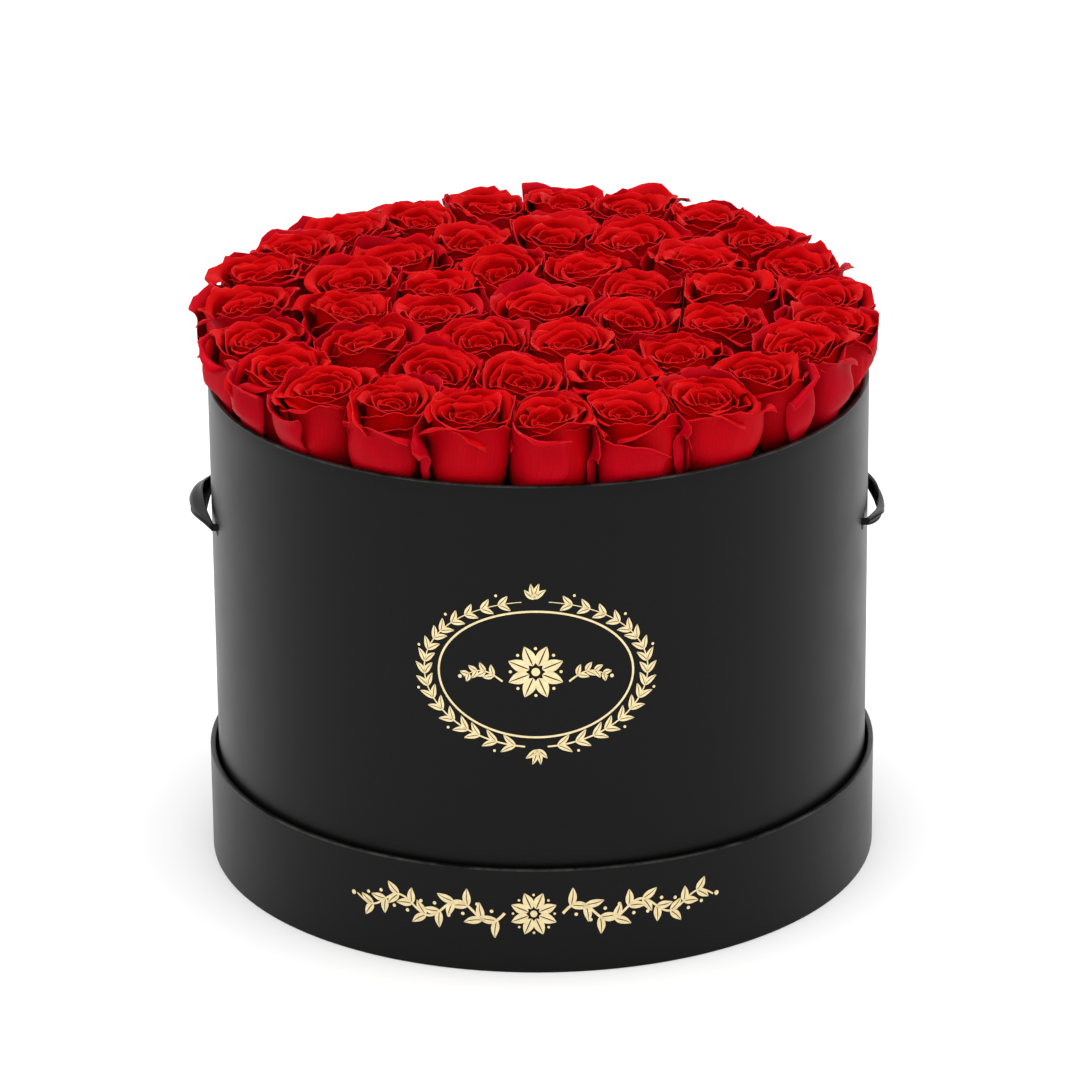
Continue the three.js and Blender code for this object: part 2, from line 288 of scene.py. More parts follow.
def give_way(points, rose, neighbours):
    """Presses the points back from the planes between neighbours and from the wall of the box."""
    for other in neighbours:
        offset = other.centre - rose.centre
        distance = np.linalg.norm(offset)
        share = rose.radius / (rose.radius + other.radius)
        direction = offset / distance
        limit = distance * share - NEIGHBOUR_GAP
        reach = (points - rose.centre) @ direction
        excess = np.maximum(reach - (limit - SQUEEZE), 0.0)
        pressed = SQUEEZE * (1 - np.exp(-excess / SQUEEZE))
        points = points + (pressed - excess)[:, None] * direction
    radius = np.linalg.norm(points[:, :2], axis=1)
    inside = BOX_RADIUS - WALL - WALL_GAP
    less = (REACH_LESS_RIGHT * points[:, 0] + REACH_LESS_BACK * points[:, 1]) / np.maximum(radius, 1e-9)
    outside = BOX_RADIUS + REACH_OVER_RIM - less
    spread = smoothstep(BOX_RIM + SPREAD_START, BOX_RIM + SPREAD_END, points[:, 2])
    limit = lerp(inside, outside, spread)
    excess = np.maximum(radius - (limit - SQUEEZE), 0.0)
    allowed = radius - excess + SQUEEZE * (1 - np.exp(-excess / SQUEEZE))
    scale = allowed / np.maximum(radius, 1e-9)
    return np.concatenate([points[:, :2] * scale[:, None], points[:, 2:]], axis=1)


def green_parts(rose):
    """Stem with its receptacle, and the sepals under the head, in head radii."""
    angle = np.linspace(0, 2 * math.pi, STEM_SIDES, endpoint=False)
    stem_radius = STEM_RADIUS / rose.radius
    profile = np.array([
        [stem_radius, -rose.stem], [stem_radius, -1.62], [0.26, -1.48], [0.34, -1.36], [0.22, -1.22]])
    distance, level = profile[:, :1], profile[:, 1:]
    stem = np.stack([distance * np.cos(angle), distance * np.sin(angle), level + 0 * angle], -1)
    quads = grid_quads(len(profile), STEM_SIDES, closed=True)
    cap = np.array([[3, 2, 1, 0], [7, 4, 3, 0], [6, 5, 4, 7]])     # an eight-sided end as three quads
    top = cap[:, ::-1] + (len(profile) - 1) * STEM_SIDES
    parts = [(stem.reshape(-1, 3), np.concatenate([quads, cap, top]))]
    along = np.linspace(0, 1, SEPAL_ROWS)[:, None]
    across = np.linspace(-1, 1, SEPAL_COLUMNS)[None, :]
    for number in range(SEPALS):
        azimuth = 2 * math.pi * number / SEPALS + 0.3
        out = 0.30 + 0.46 * along + 0 * across
        spread = 0.16 * np.sin(math.pi * np.clip(along * 0.9 + 0.08, 0, 1)) * across
        level = -1.46 + 0.38 * along ** 2 + 0.05 * across ** 2
        leaf = np.stack([
            out * math.cos(azimuth) - spread * math.sin(azimuth),
            out * math.sin(azimuth) + spread * math.cos(azimuth), level], -1)
        normal = grid_normals(leaf) * SEPAL_THICKNESS / 2
        both_sides = np.concatenate([(leaf + normal).reshape(-1, 3), (leaf - normal).reshape(-1, 3)])
        parts.append((both_sides, shell_quads(SEPAL_ROWS, SEPAL_COLUMNS)))
    return parts


def build_rose(node, rose, neighbours, seed, materials):
    """Petals as closed thin shells, with stem and sepals, in one mesh."""
    rng = np.random.default_rng(seed)
    habit = Habit(rng)
    openness = rng.uniform(1.08, 1.20)
    start = rng.uniform(0, 2 * math.pi)
    points, quads, margins, tones, ripe, coords = [], [], [], [], [], []
    count = 0
    for number in range(PETALS):
        ripeness = number / (PETALS - 1)
        azimuth = start + number * GOLDEN_ANGLE + rng.uniform(-0.22, 0.22)
        local, margin, petal_coords = petal_points(rng, ripeness, azimuth, openness)
        world = rose.to_world(habit.apply(local)).reshape(-1, 3)
        world = give_way(world, rose, neighbours).reshape(local.shape)
        normal = grid_normals(world) * PETAL_THICKNESS / 2
        points += [(world + normal).reshape(-1, 3), (world - normal).reshape(-1, 3)]
        quads.append(shell_quads(*margin.shape) + count)
        count += 2 * margin.size
        margins += [margin.ravel()] * 2
        tones.append(np.full(2 * margin.size, rng.uniform(0, 1)))
        ripe.append(np.full(2 * margin.size, ripeness))
        coords += [petal_coords.reshape(-1, 2)] * 2
    petal_faces = sum(len(part) for part in quads)
    for local, part_quads in green_parts(rose):
        points.append(give_way(rose.to_world(local), rose, neighbours))
        quads.append(part_quads + count)
        count += len(local)
        for values in (margins, tones, ripe):
            values.append(np.zeros(len(local)))
        coords.append(local[:, :2])
    quads = np.concatenate(quads)
    bloom = new_mesh(node.replace("rose_", "rose_bloom_"), np.concatenate(points), quads)
    for material in materials:
        bloom.data.materials.append(material)
    slot = (np.arange(len(quads)) >= petal_faces).astype(np.int32)
    bloom.data.polygons.foreach_set("material_index", slot)
    set_uv(bloom, quads, np.concatenate(coords))
    set_attribute(bloom, "margin", np.concatenate(margins))
    set_attribute(bloom, "tone", np.concatenate(tones))
    set_attribute(bloom, "ripeness", np.concatenate(ripe))
    return bloom


def build_roses(materials):
    roses = {node: RoseFrame(node) for node in ROSE_NODES}
    for seed, (node, rose) in enumerate(roses.items()):
        neighbours = [
            other for name, other in roses.items()
            if name != node and np.linalg.norm(other.centre - rose.centre) < NEIGHBOUR_RANGE]
        bloom = build_rose(node, rose, neighbours, seed, materials)
        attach(bloom, "box")
        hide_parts(node)


# ---------------------------------------------------------------- paper covers

COVER_COLUMNS = 288
COVER_ROWS = 34
SHARP_ANGLE = math.radians(35)
RIM_ROUNDING = 0.9 * MM
SEAM_HALF_WIDTH = 9 * MM          # paper overlap down the back
SEAM_STEP = 0.22 * MM
SEAM_COLUMNS = 0.0015             # radians from the seam's edge to the extra columns beside it
SEAM_RAMP = 0.0012                # and to the ends of the step there
BOX_TURN_IN = 34 * MM             # how far the paper goes down inside the rim
TRAY_TURN_IN = 20 * MM
HOLE_RADIUS = 4.5 * MM
HOLE_SEGMENTS = 24
HOLE_OFFSET = 40 * MM             # in front of and behind the side, as in the CAD
CUTTER_SPAN = (155 * MM, 195 * MM)    # from inside the tube to outside the cover, at the side


def cover_profile(radius, bottom, top, turn_in):
    """Closed outline of the paper in (radius, height), with the rim rounded over the board."""
    inner = radius - WALL
    bend = np.linspace(0, math.pi / 2, 5)
    levels = np.linspace(bottom, top - RIM_ROUNDING, COVER_ROWS)[:-1]
    outline = [[radius, level] for level in levels]
    outline += [[radius - RIM_ROUNDING + RIM_ROUNDING * math.cos(a),
                 top - RIM_ROUNDING + RIM_ROUNDING * math.sin(a)] for a in bend]
    outline += [[inner + RIM_ROUNDING - RIM_ROUNDING * math.sin(a),
                 top - RIM_ROUNDING + RIM_ROUNDING * math.cos(a)] for a in bend]
    outline += [[inner, top - turn_in], [inner + PAPER, top - turn_in],
                [inner + PAPER, top - RIM_ROUNDING],
                [inner + RIM_ROUNDING, top - PAPER], [radius - RIM_ROUNDING, top - PAPER],
                [radius - PAPER, top - RIM_ROUNDING], [radius - PAPER, bottom]]
    return np.array(outline)


def build_cover(name, node, body, radius, bottom, top, turn_in, material):
    """Paper over the wall and rim, with a small step down the back where its ends overlap."""
    profile = cover_profile(radius, bottom, top, turn_in)
    even = np.linspace(-math.pi, math.pi, COVER_COLUMNS, endpoint=False)
    seam = SEAM_HALF_WIDTH / radius
    edges = [sign * seam + offset for sign in (-1, 1) for offset in (-SEAM_COLUMNS, SEAM_COLUMNS)]
    angle = np.sort(np.concatenate([even, edges]))
    overlap = 1 - smoothstep(seam - SEAM_RAMP, seam + SEAM_RAMP, np.abs(angle))
    outside = (profile[:, 0] > radius - 0.3 * PAPER)[:, None]
    distance = profile[:, :1] - outside * SEAM_STEP * (1 - overlap)
    turn = angle + math.pi / 2
    points = np.stack([
        distance * np.cos(turn), distance * np.sin(turn), profile[:, 1:] + 0 * angle], -1)
    rows, columns = len(profile), len(angle)
    quads = grid_quads(rows, columns, closed=True)
    first = np.arange(columns)
    last = first + (rows - 1) * columns
    close = np.stack([last, np.roll(last, -1), np.roll(first, -1), first], -1)
    cover = new_mesh(name, points.reshape(-1, 3), np.concatenate([quads, close]))
    cover.data.set_sharp_from_angle(angle=SHARP_ANGLE)
    reach, level = profile.T
    worn = (reach > radius - WALL / 2) & (level > top - RIM_ROUNDING * 0.8) & (level != top - PAPER)
    set_attribute(cover, "rim", np.repeat(worn.astype(float), columns))
    cover.data.materials.append(material)
    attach(cover, body)
    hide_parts(node)
    return cover


def hole_cutter(side, end):
    """A closed cylinder across the wall where one ribbon hole goes."""
    mesh = bpy.data.meshes.new("cutter")
    angle = np.linspace(0, 2 * math.pi, HOLE_SEGMENTS, endpoint=False)
    rings = [
        (side * x, end * HOLE_OFFSET + HOLE_RADIUS * math.cos(a), HOLE_HEIGHT + HOLE_RADIUS * math.sin(a))
        for x in CUTTER_SPAN for a in angle]
    count = HOLE_SEGMENTS
    faces = [tuple(range(count)), tuple(range(count, 2 * count))]
    faces += [(i, (i + 1) % count, count + (i + 1) % count, count + i) for i in range(count)]
    mesh.from_pydata(rings, [], faces)
    shape = bmesh.new()
    shape.from_mesh(mesh)
    bmesh.ops.recalc_face_normals(shape, faces=shape.faces)
    shape.to_mesh(mesh)
    shape.free()
    cutter = bpy.data.objects.new("cutter", mesh)
    bpy.context.scene.collection.objects.link(cutter)
    return cutter


def punch_ribbon_holes(cover):
    """Cuts the four ribbon holes through the cover."""
    cutters = [hole_cutter(side, end) for side in (-1, 1) for end in (-1, 1)]
    for cutter in cutters:
        modifier = cover.modifiers.new("hole", "BOOLEAN")
        modifier.object = cutter
        modifier.solver = "EXACT"
    graph = bpy.context.evaluated_depsgraph_get()
    cut = bpy.data.meshes.new_from_object(cover.evaluated_get(graph))
    cover.modifiers.clear()
    cover.data = cut
    cut.set_sharp_from_angle(angle=SHARP_ANGLE)
    for cutter in cutters:
        bpy.data.objects.remove(cutter)


# ---------------------------------------------------------------- gold foil

FOIL_SUNK = 0.05 * MM
FOIL_PROUD = 0.08 * MM

# From here to the end of the foil, lengths are in mm: along the wall from the front, and above the table
LEAF_STATIONS = 9
MIDRIB_GAP = 0.12                 # from the midrib to where each half of a leaf begins
LEAF_LEAST = 0.04                 # half width that a leaf keeps at its ends
DOT_REACH, DOT_FULLNESS = 0.99, 1.0001    # leave the two ends of a dot a little width

WREATH_CENTRE = (-2.8, 165.3)
WREATH_HALF_WIDTH = 58.0
WREATH_HALF_HEIGHT = 40.0
WREATH_STATIONS = 70              # on each half
WREATH_PAIRS = 17                 # of leaves on each half
OVAL_SHARE = 0.865                # size of the plain oval line against the wreath
OVAL_STATIONS = 160
WREATH_BLOSSOM = 15.0
SPRIG_STATIONS = 24
SPRIG_START, SPRIG_LENGTH = 17, 20

BORDER_CENTRE = (-5.0, 33.5)
BORDER_HALF_LENGTH = 97.0
BORDER_BLOSSOM = 12.5
VINE_START = 15                   # bare wall on either side of the blossom's middle
VINE_STATIONS = 120
VINE_PAIRS = 10
VINE_SWING, VINE_PERIODS = 6.0, 2.5


class Foil:
    """Gathers flat foil shapes, drawn in mm along and up the wall, into one raised mesh."""

    def __init__(self, radius):
        self.radius = radius
        self.points, self.quads, self.count = [], [], 0

    def strip(self, path, half_width, closed=False):
        """A band along a path, raised from just inside the wall to just outside it."""
        path = np.asarray(path, float)
        half_width = np.broadcast_to(half_width, len(path))
        if closed:
            tangent = np.roll(path, -1, 0) - np.roll(path, 1, 0)
        else:
            tangent = np.gradient(path, axis=0)
        tangent /= np.linalg.norm(tangent, axis=1, keepdims=True)
        normal = np.stack([-tangent[:, 1], tangent[:, 0]], -1)
        left, right = path + normal * half_width[:, None], path - normal * half_width[:, None]
        low, high = self.radius - FOIL_SUNK, self.radius + FOIL_PROUD
        corners = [(left, low), (right, low), (right, high), (left, high)]
        station = np.stack([self.wrap(flat, level) for flat, level in corners], 1)
        n = len(path)
        step = np.arange(n if closed else n - 1)
        following = (step + 1) % n
        quads = [np.stack([4 * step + k, 4 * step + (k + 1) % 4, 4 * following + (k + 1) % 4,
                           4 * following + k], -1) for k in range(4)]
        quads = np.concatenate(quads)
        if not closed:
            end = 4 * n
            quads = np.concatenate([quads, [[3, 2, 1, 0]], [[end - 4, end - 3, end - 2, end - 1]]])
        self.points.append(station.reshape(-1, 3))
        self.quads.append(quads[:, ::-1] + self.count)
        self.count += 4 * n

    def wrap(self, flat, level):
        angle = flat[:, 0] * MM / self.radius
        return np.stack([level * np.sin(angle), -level * np.cos(angle), flat[:, 1] * MM], -1)

    def leaf(self, root, direction, length, width, bend=0.25):
        """Two blade halves with a bare midrib between them."""
        t = np.linspace(0, 1, LEAF_STATIONS)
        along = np.array([math.cos(direction), math.sin(direction)])
        aside = np.array([-along[1], along[0]])
        rib = root + np.outer(t * length, along) + np.outer(bend * length * (t - t ** 2), aside)
        swell = np.sin(math.pi * t ** 0.8) * width / 2
        for side in (-1, 1):
            middle = rib + side * np.outer(MIDRIB_GAP + swell * 0.5, aside)
            self.strip(middle, LEAF_LEAST + swell * 0.42)

    def leaf_pair(self, root, heading, lean, length, width, bends=(0.25, 0.25)):
        """A leaf on either side of a stem, each leaning away from its heading."""
        for side, bend in zip((-1, 1), bends):
            self.leaf(root, heading + side * lean, length, width, bend)

    def dot(self, centre, radius):
        t = np.linspace(-1, 1, LEAF_STATIONS)
        path = np.stack([centre[0] + radius * t * DOT_REACH, np.full(len(t), centre[1])], -1)
        self.strip(path, radius * np.sqrt(DOT_FULLNESS - (DOT_REACH * t) ** 2))

    def build(self, name, body, material):
        foil = new_mesh(name, np.concatenate(self.points), np.concatenate(self.quads), smooth=False)
        foil.data.materials.append(material)
        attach(foil, body)


def heading_of(step):
    return math.atan2(step[1], step[0])


def blossom(foil, centre, size, petals=8):
    """A round flower of plain leaf-shaped petals about a dot, with a ring of small dots."""
    centre = np.array(centre)
    for number in range(petals):
        heading = 2 * math.pi * (number + 0.5) / petals
        way = np.array([math.cos(heading), math.sin(heading)])
        foil.leaf(centre + 0.24 * size * way, heading, 0.76 * size, 0.46 * size, bend=0.0)
        between = heading + math.pi / petals
        outward = np.array([math.cos(between), math.sin(between)])
        foil.dot(centre + 0.86 * size * outward, 0.055 * size)
    foil.dot(centre, 0.15 * size)


def wreath_side(foil, side):
    """One half of the wreath: its stem, leaf pairs, dots and half of the two buds at the ends."""
    cx, cy = WREATH_CENTRE
    along = np.linspace(-math.pi / 2 + 0.10, math.pi / 2 - 0.12, WREATH_STATIONS)
    stem = np.stack([cx + side * WREATH_HALF_WIDTH * np.cos(along),
                     cy + WREATH_HALF_HEIGHT * np.sin(along)], -1)
    foil.strip(stem, np.linspace(0.45, 0.2, WREATH_STATIONS))
    for number in range(WREATH_PAIRS):
        where = int((number + 0.6) / WREATH_PAIRS * (WREATH_STATIONS - 4))
        step = stem[where + 2] - stem[where]
        foil.leaf_pair(stem[where], heading_of(step), 0.62, 8.6 - 0.10 * number, 3.0, (0.22, -0.22))
        if number % 3 == 1:
            out = np.array([step[1], -step[0]]) * side / np.linalg.norm(step)
            foil.dot(stem[where] + out * 5.2, 0.75)
    for level, way in ((cy + WREATH_HALF_HEIGHT + 1.5, 1), (cy - WREATH_HALF_HEIGHT - 1.5, -1)):
        for lean in (0.25, 0.85):
            upward = way * (math.pi / 2 - side * lean)
            foil.leaf(np.array([cx, level]), upward, 9.0 - 2 * lean, 3.0)


def wreath_sprig(foil, side):
    """A small sprig beside the blossom, inside the oval line."""
    cx, cy = WREATH_CENTRE
    t = np.linspace(0, 1, SPRIG_STATIONS)
    sprig = np.stack([cx + side * (SPRIG_START + SPRIG_LENGTH * t),
                      cy - 4.0 + 5.5 * np.sin(math.pi * t * 0.9)], -1)
    foil.strip(sprig, np.linspace(0.5, 0.18, SPRIG_STATIONS))
    for where in (5, 10, 15, 20):
        step = sprig[where + 1] - sprig[where - 1]
        foil.leaf_pair(sprig[where], heading_of(step), 0.75, 6.6 - 0.1 * where, 2.7)
    foil.dot(sprig[-1] + [side * 2.0, 0], 1.0)


def build_wreath(material):
    """The foil on the box: a wreath round an oval line, with a blossom and two sprigs inside."""
    foil = Foil(BOX_RADIUS)
    cx, cy = WREATH_CENTRE
    whole = np.linspace(0, 2 * math.pi, OVAL_STATIONS, endpoint=False)
    foil.strip(np.stack([cx + WREATH_HALF_WIDTH * OVAL_SHARE * np.cos(whole),
                         cy + WREATH_HALF_HEIGHT * OVAL_SHARE * np.sin(whole)], -1), 0.55, closed=True)
    for side in (-1, 1):
        wreath_side(foil, side)
    blossom(foil, (cx, cy + 1.5), WREATH_BLOSSOM)
    for side in (-1, 1):
        wreath_sprig(foil, side)
    foil.build("foil_wreath", "box", material)


def build_border(material):
    """The foil on the tray: a waving vine of leaf pairs and dots on either side of a blossom."""
    foil = Foil(TRAY_RADIUS)
    cx, cy = BORDER_CENTRE
    blossom(foil, (cx, cy), BORDER_BLOSSOM)
    t = np.linspace(0, 1, VINE_STATIONS)
    for side in (-1, 1):
        wave = VINE_SWING * np.sin(2 * math.pi * VINE_PERIODS * t) * (1 - 0.35 * t)
        vine = np.stack([cx + side * (VINE_START + (BORDER_HALF_LENGTH - VINE_START) * t),
                         cy + side * wave], -1)
        foil.strip(vine, 0.75 - 0.3 * t)
        for number in range(VINE_PAIRS):
            where = 6 + number * 11
            heading = heading_of(vine[where + 1] - vine[where - 1])
            foil.leaf_pair(vine[where], heading, 0.80, 10.2 - 0.2 * number, 4.4, (0.2, -0.2))
            beside = vine[where + 4]
            foil.dot(beside + [0, 6.4 * (-1 if beside[1] > cy else 1)], 0.95)
        foil.dot(vine[-1] + [side * 2.2, 0], 1.3)
    foil.build("foil_border", "tray", material)


# ---------------------------------------------------------------- ribbons

LOOP_ROWS = 73
LOOP_COLUMNS = 37
RIBBON_THICKNESS = 0.3 * MM
PINCH = 2.0 * MM
RUN_THROUGH = 4.8 * MM            # ribbon that goes on into the hole, short enough to swing in it
LOOP_SHARE = 0.88                 # part of the ribbon's rows that lies outside the wall
RUN_CLEARANCE = 1.6 * MM          # from the wall to the ribbon along its inside
RUN_HALF_WIDTH = 6.6 * MM
RUN_ROWS, RUN_COLUMNS = 41, 11
KNOT_RADIUS = 3.5 * MM
KNOT_TUBE = 2.5 * MM
KNOT_TWIST = 1.0 * MM
KNOT_INSET = 4.5 * MM
KNOT_PULL = 0.975                 # place of a knot against that of its hole, along the box
KNOT_ROWS, KNOT_COLUMNS = 20, 12


class LoopShape:
    """How one ribbon loop has been squashed. Lengths are in mm; widening is a power, shift a share."""

    def __init__(self, seed, half_width, rise, stand_off, curl, widening, shift):
        self.seed = seed
        self.half_width, self.rise, self.stand_off, self.curl = (
            value * MM for value in (half_width, rise, stand_off, curl))
        self.widening, self.shift = widening, shift


LOOP_SHAPES = {
    "left": LoopShape(
        seed=31, half_width=5.6, rise=1.4, stand_off=12.9, curl=7.2, widening=1.76, shift=0.02),
    "right": LoopShape(
        seed=47, half_width=4.6, rise=-5.4, stand_off=9.9, curl=1.3, widening=1.3, shift=0.06),
}


def build_handle(side_name, side, material):
    """Satin ribbon gathered at both holes and bunched between them, with folds into the gathers."""
    shape = LOOP_SHAPES[side_name]
    phase = any_phase(np.random.default_rng(shape.seed))
    s = np.linspace(-1, 1, LOOP_ROWS)[:, None]
    t = np.linspace(-1, 1, LOOP_COLUMNS)[None, :]
    place = np.clip(np.abs(s) / LOOP_SHARE, 0, 1)
    through = np.clip((np.abs(s) - LOOP_SHARE) / (1 - LOOP_SHARE), 0, 1)
    warped = np.sign(s) * place
    warped = warped + shape.shift * (1 - warped ** 2)
    swell = np.cos(math.pi / 2 * warped)
    flare = 1 - np.abs(warped) ** shape.widening
    folds = (1.0 * MM * np.sin(2.3 * math.pi * t + phase + 1.2 * np.sin(2.2 * s))
             + 0.55 * MM * np.sin(4.7 * math.pi * t + 2.3 * phase + 2.5 * s)
             + 0.25 * MM * np.sin(9.1 * math.pi * t + phase + 1.5 * s))
    x = (PIVOT_X + shape.stand_off * swell - RUN_THROUGH * through + folds * (0.55 + 0.45 * flare)
         - shape.curl * swell * t ** 2)
    y = np.sign(s) * HOLE_OFFSET * place + 0.9 * MM * np.sin(3 * t + phase) * swell
    width = lerp(PINCH, shape.half_width, flare)
    waver = 1.2 * MM * np.sin(4 * s + 2 * t + phase) * swell
    z = HOLE_HEIGHT + width * t + shape.rise * flare + waver
    points = np.stack([side * x, y + 0 * t, z], -1)
    normal = grid_normals(points) * RIBBON_THICKNESS / 2
    vertices = np.concatenate([(points + normal).reshape(-1, 3), (points - normal).reshape(-1, 3)])
    quads = shell_quads(LOOP_ROWS, LOOP_COLUMNS)
    handle = new_mesh("ribbon_loop_" + side_name, vertices, quads)
    coords = np.stack([s + 0 * t, t + 0 * s], -1).reshape(-1, 2)
    set_uv(handle, quads, np.concatenate([coords, coords]))
    handle.data.materials.append(material)
    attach(handle, "handle_" + side_name)
    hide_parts("ribbon_handle_" + side_name)


def knot_points():
    """A lumpy ring about the origin, as rows of points round its tube."""
    a = np.linspace(0, 2 * math.pi, KNOT_ROWS, endpoint=False)[:, None]
    b = np.linspace(0, 2 * math.pi, KNOT_COLUMNS, endpoint=False)[None, :]
    tube = KNOT_TUBE * (1 + 0.14 * np.cos(3 * b + 2 * a))
    ring_radius = KNOT_RADIUS * (1 + 0.12 * np.cos(2 * a + 1))
    x = tube * np.sin(b) + KNOT_TWIST * np.sin(2 * a)
    y = (ring_radius + tube * np.cos(b)) * np.cos(a)
    z = (ring_radius + tube * np.cos(b)) * np.sin(a)
    return np.stack([x, y, z], -1).reshape(-1, 3)


def build_inner_ribbon(side_name, side, material):
    """The ribbon along the inside of the wall and the lumpy knot at each hole."""
    run_radius = BOX_RADIUS - WALL - RUN_CLEARANCE
    reach = math.asin(HOLE_OFFSET / run_radius)
    s = np.linspace(-1, 1, RUN_ROWS)[:, None]
    t = np.linspace(-1, 1, RUN_COLUMNS)[None, :]
    angle = reach * s
    distance = run_radius + 0.35 * MM * np.sin(4 * math.pi * t + 3 * s)
    level = HOLE_HEIGHT + RUN_HALF_WIDTH * (0.55 + 0.45 * np.cos(math.pi * s / 2)) * t
    flat = np.stack([side * distance * np.cos(angle), distance * np.sin(angle), level], -1)
    normal = grid_normals(flat) * RIBBON_THICKNESS / 2
    points = [(flat + normal).reshape(-1, 3), (flat - normal).reshape(-1, 3)]
    quads = [shell_quads(RUN_ROWS, RUN_COLUMNS)]
    count = 2 * RUN_ROWS * RUN_COLUMNS
    knot = knot_points()
    knot_quads = grid_quads(KNOT_ROWS + 1, KNOT_COLUMNS, closed=True)[:, ::-1] % len(knot)
    knot_x = side * (run_radius * math.cos(reach) - KNOT_INSET)
    for end in (-1, 1):
        points.append(knot + [knot_x, end * HOLE_OFFSET * KNOT_PULL, HOLE_HEIGHT])
        quads.append(knot_quads + count)
        count += len(knot)
    run = new_mesh("ribbon_knots_" + side_name, np.concatenate(points), np.concatenate(quads))
    run.data.materials.append(material)
    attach(run, "box")
    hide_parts("ribbon_inner_" + side_name)


# ---------------------------------------------------------------- materials

class Nodes:
    """A Principled material and short calls for the nodes that drive it."""

    def __init__(self, name, color, roughness, **sockets):
        self.material = bpy.data.materials.new(name)
        self.material.use_nodes = True
        self.tree = self.material.node_tree
        self.shader = self.tree.nodes["Principled BSDF"]
        self.shader.inputs["Base Color"].default_value = (*color, 1.0)
        self.shader.inputs["Roughness"].default_value = roughness
        for socket, value in sockets.items():
            self.shader.inputs[socket.replace("_", " ")].default_value = value

    def link(self, output, socket):
        self.tree.links.new(output, socket)

    def new(self, kind, **settings):
        node = self.tree.nodes.new(kind)
        for key, value in settings.items():
            if key in node.inputs:
                node.inputs[key].default_value = value
            else:
                setattr(node, key, value)
        return node

    def coordinates(self, which="Object", scale=(1, 1, 1)):
        source = self.new("ShaderNodeTexCoord")
        mapping = self.new("ShaderNodeMapping", Scale=scale)
        self.link(source.outputs[which], mapping.inputs["Vector"])
        return mapping.outputs["Vector"]

    def noise(self, vector, scale, detail=3.0, roughness=0.55):
        node = self.new("ShaderNodeTexNoise", Scale=scale, Detail=detail, Roughness=roughness)
        self.link(vector, node.inputs["Vector"])
        return node.outputs["Fac"]

    def attribute(self, name):
        return self.new("ShaderNodeAttribute", attribute_name=name).outputs["Fac"]

    def ramp(self, factor, stops):
        node = self.new("ShaderNodeValToRGB")
        elements = node.color_ramp.elements
        while len(elements) < len(stops):
            elements.new(0.5)
        for element, (place, color) in zip(elements, stops):
            element.position = place
            element.color = (*color, 1.0)
        self.link(factor, node.inputs["Fac"])
        return node.outputs["Color"]

    def mix(self, factor, first, second, blend="MIX"):
        node = self.new("ShaderNodeMix", data_type="RGBA", blend_type=blend)
        sockets = node.inputs[0], node.inputs[6], node.inputs[7]     # the factor and the two colours
        for value, socket in zip((factor, first, second), sockets):
            if isinstance(value, (int, float)):
                socket.default_value = value
            elif isinstance(value, tuple):
                socket.default_value = (*value, 1.0)
            else:
                self.link(value, socket)
        return node.outputs[2]

    def span(self, factor, low, high):
        node = self.new("ShaderNodeMapRange")
        node.inputs["To Min"].default_value = low
        node.inputs["To Max"].default_value = high
        self.link(factor, node.inputs["Value"])
        return node.outputs["Result"]

    def bump(self, height, distance, strength=1.0):
        node = self.new("ShaderNodeBump", Strength=strength, Distance=distance)
        self.link(height, node.inputs["Height"])
        self.link(node.outputs["Normal"], self.shader.inputs["Normal"])

    def color(self, output):
        self.link(output, self.shader.inputs["Base Color"])

    def roughness(self, output):
        self.link(output, self.shader.inputs["Roughness"])


def petal_material():
    m = Nodes("rose_petal", (0.62, 0.0, 0.002), 0.6, Specular_IOR_Level=0.03)
    margin = m.attribute("margin")
    body = m.ramp(m.attribute("ripeness"), [(0.75, (0.54, 0.0, 0.0012)), (1.0, (0.46, 0.0, 0.008))])
    # painted shade: each petal darkens towards its base, deep inside the rose
    painted_depth_shade = m.ramp(margin, [(0.0, (0.93, 0.93, 0.93)), (0.5, (1.0, 1.0, 1.0))])
    tone = m.ramp(m.attribute("tone"), [(0.0, (0.86, 0.86, 0.86)), (1.0, (1.0, 1.0, 1.0))])
    shaded = m.mix(1.0, m.mix(1.0, body, painted_depth_shade, "MULTIPLY"), tone, "MULTIPLY")
    # painted highlight: a lighter, pinker line along each petal's margin
    painted_edge_highlight = m.ramp(margin, [(0.94, (0.0, 0.0, 0.0)), (1.0, (0.7, 0.7, 0.7))])
    shaded_and_highlit = m.mix(painted_edge_highlight, shaded, (0.60, 0.012, 0.014))
    veins = m.noise(m.coordinates("UV", (26, 2.2, 1)), 1.6, 4.0)
    shade = m.ramp(veins, [(0.3, (0.84, 0.84, 0.84)), (0.7, (1.06, 1.06, 1.06))])
    m.color(m.mix(1.0, shaded_and_highlit, shade, "MULTIPLY"))
    velvet = m.noise(m.coordinates("Object"), 2600, 2.0)
    m.roughness(m.span(velvet, 0.45, 0.65))
    m.bump(veins, 0.00025, 0.5)
    return m.material


def green_material():
    m = Nodes("rose_green", (0.05, 0.11, 0.03), 0.6, Specular_IOR_Level=0.3)
    grain = m.noise(m.coordinates("Object"), 900, 4.0)
    m.color(m.ramp(grain, [(0.3, (0.03, 0.075, 0.02)), (0.7, (0.09, 0.16, 0.045))]))
    m.bump(grain, 0.0003, 0.6)
    return m.material


